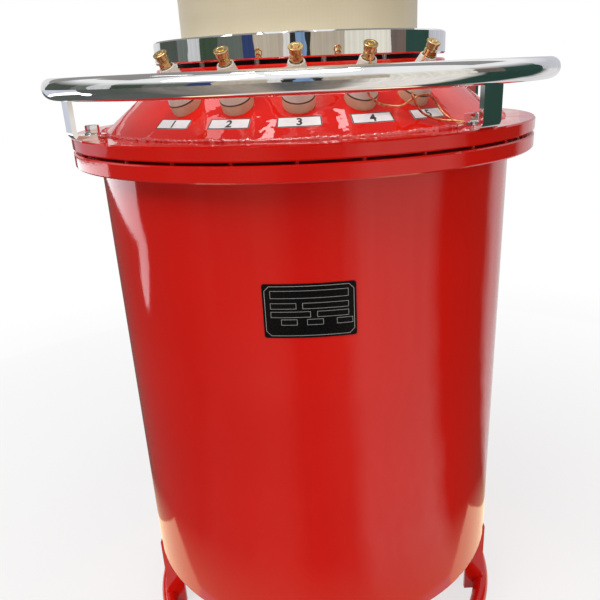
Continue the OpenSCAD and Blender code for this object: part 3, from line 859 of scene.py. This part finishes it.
def add_tube(bm, line, radius, sides=6):
    """A closed round tube along a line of points."""
    turns = [2 * math.pi * k / sides for k in range(sides)]
    add_skin(bm, [[point + radius * (math.cos(a) * across + math.sin(a) * up) for a in turns]
                  for point, across, up in frames_along(line)])


def twisted_wire(name, line, material):
    """A wire of one core strand and six strands twisted round it, along a line of close points."""
    strands = [[] for _ in range(6)]
    travelled, last = 0.0, line[0]
    for point, across, up in frames_along(line):
        travelled += (point - last).length
        last = point
        for s, strand in enumerate(strands):
            a = 2 * math.pi * (s / 6 + travelled / WIRE_LAY)
            strand.append(point + STRAND_RING * (math.cos(a) * across + math.sin(a) * up))
    bm = bmesh.new()
    for strand in [line, *strands]:
        add_tube(bm, strand, STRAND_RADIUS)
    mesh = finished_mesh(name, bm, [material])
    mesh.polygons.foreach_set("use_smooth", [True] * len(mesh.polygons))
    return set_on_part(add_object(name, mesh), "copper")


bare_copper = mottled_material("bare_copper", 240.0, 3.0, (0.40, 0.13, 0.05), (0.86, 0.42, 0.21), (0.3, 0.65),
                               (0.42, 0.22), metallic=1.0)
# A row on the lid is an angle, a distance down from the terminals' foot and one up from it, along the cone or
# a lean. Terminal 4 stands at 16 degrees, terminal 5 at 33. A row at the bracket is an offset from its screw.
wire_routes = (
    ("copper_wire_1", "earth_wire_1", 0.1692,
     ((16.0, 0.0045, WIRE_CLAMP_HEIGHT, TERMINAL_LEAN), (15.5, 0.0105, BUSHING_HEIGHT, TERMINAL_LEAN),
      (15.3, 0.014, BUSHING_HEIGHT - 0.012, TERMINAL_LEAN), (15.5, 0.016, 0.021), (18.5, 0.018, 0.010),
      (22.0, 0.020, 0.007), (24.5, 0.023, 0.009), (26.5, 0.024, 0.017), (28.5, 0.024, 0.021),
      (32.0, 0.021, 0.018), (35.0, 0.019, 0.011), (36.5, 0.024, 0.006), (36.8, 0.036, 0.005)),
     ((-0.020, -0.004, 0.002), (-0.007, 0.0, 0.0))),
    ("copper_wire_2", "earth_wire_2", 0.1148,
     ((32.0, 0.0025, WIRE_CLAMP_HEIGHT, TERMINAL_LEAN), (30.5, 0.0055, BUSHING_HEIGHT + 0.001, TERMINAL_LEAN),
      (29.0, 0.010, BUSHING_HEIGHT - 0.009, TERMINAL_LEAN), (27.0, 0.018, 0.029), (26.0, 0.024, 0.023),
      (26.5, 0.028, 0.019), (28.5, 0.030, 0.010), (30.5, 0.035, 0.006), (33.7, 0.042, 0.005)),
     ((-0.012, -0.011, 0.0016), (-0.004, -0.005, 0.0))),
)
for wire_name, wire_node, wire_length, lid_rows, bracket_rows in wire_routes:
    wire_points = [over_lid(*row) for row in lid_rows] + [over_bracket_foot(*row) for row in bracket_rows]
    wire_line = smooth_route(wire_points, ROUTE_STEPS)
    wire = twisted_wire(wire_name, wire_line, bare_copper)
    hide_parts(wire_node)
    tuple(wire_line[0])

# Studio. A plain pale floor, a white surround and soft lamps. A round wall with its foot on the floor and a
# few cards, which the camera doesn't see, give the chrome and the enamel light and dark to mirror.
FLOOR_HALF = 20
FLOOR_GREY = (0.86, 0.86, 0.86, 1)
WHITE = (1, 1, 1, 1)
BLACK = (0, 0, 0, 1)
SURROUND_LIGHT = 0.42
WALL_FOOT_RADIUS = 0.36
WALL_FOOT_CLEAR = 0.50
WALL_FOOT_LIFT = 0.001
WALL_FOOT_COLOUR = (0.78, 0.58, 0.40, 1)
WALL_RADIUS = 1.30
WALL_SPLIT = 0.70
WALL_SPLIT_SPAN = (WALL_SPLIT - 0.04, WALL_SPLIT + 0.04)
WALL_FADE = 1.1
WALL_TOP = 1.50
WALL_STEP = 4
UPPER_BANDS = (
    (-180, (0.75, 0.75, 0.75)), (-150, (0.80, 0.80, 0.80)), (-128, (0.070, 0.085, 0.070)),
    (-99, (0.16, 0.18, 0.16)), (-88, (0.65, 0.66, 0.66)), (-75, (0.045, 0.075, 0.045)),
    (-60, (0.12, 0.14, 0.12)), (-40, (0.025, 0.045, 0.14)), (-31, (0.50, 0.43, 0.33)),
    (-12, (0.75, 0.73, 0.68)), (-6, (0.02, 0.02, 0.02)), (-2, (0.20, 0.32, 0.50)), (3, (0.02, 0.02, 0.02)),
    (6, (0.50, 0.43, 0.33)), (30, (0.85, 0.82, 0.70)), (66, (0.16, 0.12, 0.10)), (79, (0.016, 0.060, 0.045)),
    (107, (0.60, 0.60, 0.65)), (150, (0.75, 0.75, 0.75)))
LOWER_BANDS = (
    (-180, (0.40, 0.40, 0.40)), (-165, (0.10, 0.11, 0.10)), (-60, (0.22, 0.20, 0.18)),
    (-40, (0.28, 0.24, 0.20)), (-31, (0.38, 0.32, 0.26)), (-12, (0.12, 0.12, 0.12)), (6, (0.26, 0.22, 0.18)),
    (20, (0.90, 0.85, 0.78)), (66, (0.014, 0.052, 0.038)), (112, (0.80, 0.78, 0.78)),
    (150, (0.60, 0.60, 0.60)))
BAND_SOFT = 5
CARD_RADIUS = 1.28
CARD_GREY = (0.30, 0.29, 0.28)
SIDE_CARD_WHITE = (0.93, 0.95, 1.0)
SIDE_CARD_STRENGTH = 2.8
SIDE_CARD = ((0.56, -134, -94), (0.50, -133, -94), (0.44, -120.5, -94), (0.394, -112, -93.4),
             (0.33, -99, -90.5), (0.27, -100, -91.5), (0.22, -101.5, -93.5), (0.13, -101, -98))
BRACKET_CARD_BLUE = (0.66, 0.69, 0.78)
FLOOR_CARD_CREAM = (1.0, 0.80, 0.52)
FLOOR_CARD_STRENGTH = 1.5
FLOOR_CARD_LIFT = 0.0014
FLOOR_CARD_OUTER = ((0.311, -0.175), (0.343, -0.153), (0.399, -0.109), (0.424, -0.084), (0.473, -0.031),
                    (0.428, 0.030), (0.375, 0.089), (0.320, 0.150))
FLOOR_CARD_INNER = ((0.262, -0.150), (0.272, -0.115), (0.283, -0.080), (0.287, -0.040), (0.288, 0.0),
                    (0.287, 0.040), (0.282, 0.080), (0.275, 0.110))
FILL_WARM = (1.0, 0.86, 0.68)
LOW_LAMP_SPREAD = math.radians(95)
STRIP_HEIGHT = 2.45
STRIPS = ((-0.98, 0.50, 0.10, 0.55, 33, 0.45), (-0.42, 0.06, 0.18, 0.10, 0, 0.44),
          (0.38, 0.08, 0.09, 0.06, 0, 0.13))


def background_rays(tree):
    """1 for rays from the camera, from mirrors and through glass, and 0 for rays that light the object."""
    rays = add_node(tree, "ShaderNodeLightPath")
    mirrored = calc(tree, "MAXIMUM", rays["Is Camera Ray"], rays["Is Glossy Ray"])
    return calc(tree, "MAXIMUM", mirrored, rays["Is Transmission Ray"])


def stage_object(name, points, faces, material):
    """An object of the studio, which is no part of the object."""
    mesh = bpy.data.meshes.new(name)
    mesh.from_pydata(points, [], faces)
    mesh.materials.append(material)
    made = add_object(name, mesh)
    return made


def mixed_surface(material, shader, share, other):
    """Mixes a share of another shader into a material, which is no lamp of its own."""
    tree = material.node_tree
    mix = add_node(tree, "ShaderNodeMixShader", {"Fac": share, 1: shader.outputs["BSDF"], 2: other})
    feed(tree.nodes["Material Output"], {"Surface": mix["Shader"]})
    material.cycles.emission_sampling = "NONE"
    return material


def floor_material():
    """Pale matt paint that fades into the white surround away from the part."""
    material, tree, shader = new_material("floor_paint", roughness=0.8, base_color=FLOOR_GREY)
    away = add_node(tree, "ShaderNodeVectorMath", {0: object_place(tree)}, operation="LENGTH")
    fade = remap(tree, away["Value"], 0.7, 1.0, 0.5, 1.6)
    share = calc(tree, "MULTIPLY", fade, background_rays(tree))
    white = add_node(tree, "ShaderNodeEmission", {"Color": WHITE, "Strength": 1.0})
    return mixed_surface(material, shader, share, white["Emission"])


def wall_material():
    """Bands by the angle round the part, ragged and streaked, white towards the top and clear from behind."""
    material, tree, shader = new_material("wall_paint", roughness=0.9, base_color=BLACK,
                                          emission_strength=1.0)
    place = object_place(tree)
    parts = add_node(tree, "ShaderNodeSeparateXYZ", {"Vector": place})
    turn = calc(tree, "ARCTAN2", parts["X"], calc(tree, "MULTIPLY", parts["Y"], -1.0))
    share = calc(tree, "MULTIPLY_ADD", turn, 0.5 / math.pi, 0.5)
    ragged = calc(tree, "MULTIPLY_ADD", noise(tree, place, 5.0, 3.0), 0.024, -0.012)
    edge = calc(tree, "ADD", share, ragged)
    soft_stops = [(0.0, LOWER_BANDS[0][1])]
    for (_, before), (angle, colour) in zip(LOWER_BANDS, LOWER_BANDS[1:]):
        soft_stops += [((angle - BAND_SOFT + 180) / 360, before), ((angle + BAND_SOFT + 180) / 360, colour)]
    lower = colour_ramp(tree, edge, soft_stops)
    sharp_stops = [((angle + 180) / 360, colour) for angle, colour in UPPER_BANDS]
    upper = colour_ramp(tree, edge, sharp_stops, "CONSTANT")
    upper_share = remap(tree, parts["Z"], 0.0, 1.0, *WALL_SPLIT_SPAN)
    stretch = add_node(tree, "ShaderNodeMapping", {"Vector": place, "Scale": (26, 26, 2)})
    streak = remap(tree, noise(tree, stretch["Vector"], 1.0, 3.0), 0.86, 1.1, 0.3, 0.7)
    streaked = mix_colour(tree, 1.0, mix_colour(tree, upper_share, lower, upper), streak, "MULTIPLY")
    foot_share = remap(tree, axis_distance(tree, parts), 1.0, 0.0, WALL_FOOT_RADIUS, WALL_FOOT_CLEAR)
    footed = mix_colour(tree, foot_share, streaked, WALL_FOOT_COLOUR)
    top_share = remap(tree, parts["Z"], 0.0, 1.0, WALL_FADE, WALL_TOP)
    feed(shader, {"Emission Color": mix_colour(tree, top_share, footed, WHITE)})
    behind = add_node(tree, "ShaderNodeNewGeometry")["Backfacing"]
    return mixed_surface(material, shader, behind, add_node(tree, "ShaderNodeBsdfTransparent")["BSDF"])


def grid_faces(rows, width):
    """Faces between rows of points of the same number."""
    return [(width * i + j, width * i + j + 1, width * (i + 1) + j + 1, width * (i + 1) + j)
            for i in range(rows - 1) for j in range(width - 1)]


def mirror_card(name, rows, colour, strength=1.0):
    """A card that only mirrors see, from rows of points of the same number; it gives off coloured light."""
    paint, _, _ = new_material(name, roughness=0.9, base_color=BLACK, emission_color=(*colour, 1),
                               emission_strength=strength)
    paint.cycles.emission_sampling = "NONE"
    points = [point for row in rows for point in row]
    card = stage_object(name, points, grid_faces(len(rows), len(rows[0])), paint)
    card.visible_camera = False
    card.visible_diffuse = False
    card.visible_shadow = False


def upright_card(name, rows, colour, strength=1.0):
    """A mirror card on a circle round the part; each row is a height and its left and right angle."""
    mirror_card(name, [[around(CARD_RADIUS, angle, height) for angle in (left, right)]
                       for height, left, right in rows], colour, strength)


def soft_lamp(name, place, aim, width, height, power):
    """A soft lamp at place that points at aim."""
    data = bpy.data.lights.new(name, "AREA")
    data.shape = "RECTANGLE"
    data.size = width
    data.size_y = height
    data.energy = power
    lamp = add_object(name, data)
    lamp.location = place
    lamp.rotation_mode = "QUATERNION"
    lamp.rotation_quaternion = (Vector(aim) - Vector(place)).to_track_quat("-Z", "Y")
    lamp.visible_camera = False
    return lamp


stage_object("studio_floor", [(FLOOR_HALF * sx, FLOOR_HALF * sy, 0) for sx, sy in CORNERS],
             [(0, 1, 2, 3)], floor_material())

world = bpy.data.worlds.new("studio_surround")
bpy.context.scene.world = world
world.use_nodes = True
surround = world.node_tree
feed(surround.nodes["Background"],
     {"Color": WHITE, "Strength": remap(surround, background_rays(surround), SURROUND_LIGHT, 1.0)})

wall_angles = range(-180, 180 + WALL_STEP, WALL_STEP)
wall_section = ((WALL_FOOT_RADIUS, WALL_FOOT_LIFT), (WALL_RADIUS, WALL_FOOT_LIFT),
                (WALL_RADIUS, WALL_SPLIT), (WALL_RADIUS, WALL_TOP))
mirror_wall = stage_object("mirror_wall", [around(r, a, z) for a in wall_angles for r, z in wall_section],
                           grid_faces(len(wall_angles), len(wall_section)), wall_material())
mirror_wall.visible_camera = False
mirror_wall.visible_shadow = False

mirror_card("overhead_card", [[(x, y, 2.5) for x in (-2.0, 2.0)] for y in (0.0, 1.5)], CARD_GREY)
upright_card("back_card", ((1.02, -170, -126), (2.4, -170, -126)), CARD_GREY)
upright_card("side_card", SIDE_CARD, SIDE_CARD_WHITE, SIDE_CARD_STRENGTH)
upright_card("bracket_card", ((0.76, -134, -94), (0.57, -134, -94)), BRACKET_CARD_BLUE)
for side_name, side in (("left", -1), ("right", 1)):
    card_rows = [[(side * x, y, FLOOR_CARD_LIFT) for x, y in edge]
                 for edge in (FLOOR_CARD_OUTER, FLOOR_CARD_INNER)]
    mirror_card(f"{side_name}_floor_card", card_rows, FLOOR_CARD_CREAM, FLOOR_CARD_STRENGTH)

soft_lamp("key_lamp", (-1.6, -1.6, 2.8), (0, 0, 0.6), 1.6, 1.6, 40)
fill_lamp = soft_lamp("fill_lamp", (2.4, -1.8, 1.2), (0, 0, 0.5), 1.6, 1.6, 6)
fill_lamp.data.color = FILL_WARM
soft_lamp("top_lamp", (0.1, -0.75, 2.6), (0, -0.1, 0.7), 0.8, 0.8, 11)
low_lamp = soft_lamp("low_lamp", (-0.55, -0.95, 0.05), (-0.1, -0.2, 0.35), 0.8, 0.3, 0.8)
low_lamp.data.spread = LOW_LAMP_SPREAD
low_lamp.visible_glossy = False
soft_lamp("left_glint_lamp", (-0.5, -0.8, 2.5), (0, -0.2, 0.7), 0.1, 0.1, 1.2)
soft_lamp("right_glint_lamp", (0.5, -0.7, 2.5), (0, -0.2, 0.7), 0.1, 0.1, 1.2)
for strip_number, (x, y, width, length, turn, power) in enumerate(STRIPS, 1):
    strip_lamp = soft_lamp(f"strip_lamp_{strip_number}", (x, y, STRIP_HEIGHT), (x, y, 0),
                           width, length, power)
    strip_lamp.rotation_quaternion = Quaternion((0, 0, 1), math.radians(turn))
    strip_lamp.visible_diffuse = False
side_lamp = soft_lamp("side_lamp", around(1.35, -112, 0.36), (0, 0, 0.36), 0.72, 0.44, 2.2)
side_lamp.visible_glossy = False

# Camera. It stands where the photograph was taken from, turned and tilted as that camera was, with the
# same field of view.
PHOTO_SIDE = 600
FOCAL_PIXELS = 643.5
CENTRE_PIXEL = (316.8, 325.3)
CAMERA_PLACE = (0.0, -0.8493, 0.7652)
CAMERA_PITCH = math.radians(21.75)
CAMERA_ROLL = math.radians(-2.556)
CAMERA_YAW = math.radians(0.3527)
camera_data = bpy.data.cameras.new("photo_camera")
camera = add_object("photo_camera", camera_data)
camera.matrix_world = (Matrix.Translation(CAMERA_PLACE) @ Matrix.Rotation(-CAMERA_YAW, 4, "Z")
                       @ Matrix.Rotation(math.pi / 2 - CAMERA_PITCH, 4, "X")
                       @ Matrix.Rotation(CAMERA_ROLL, 4, "Z"))
camera_data.sensor_width = 36
camera_data.lens = FOCAL_PIXELS / PHOTO_SIDE * camera_data.sensor_width
camera_data.shift_x = 0.5 - CENTRE_PIXEL[0] / PHOTO_SIDE
camera_data.shift_y = CENTRE_PIXEL[1] / PHOTO_SIDE - 0.5
bpy.context.scene.camera = camera
bpy.context.scene.view_settings.view_transform = "Standard"
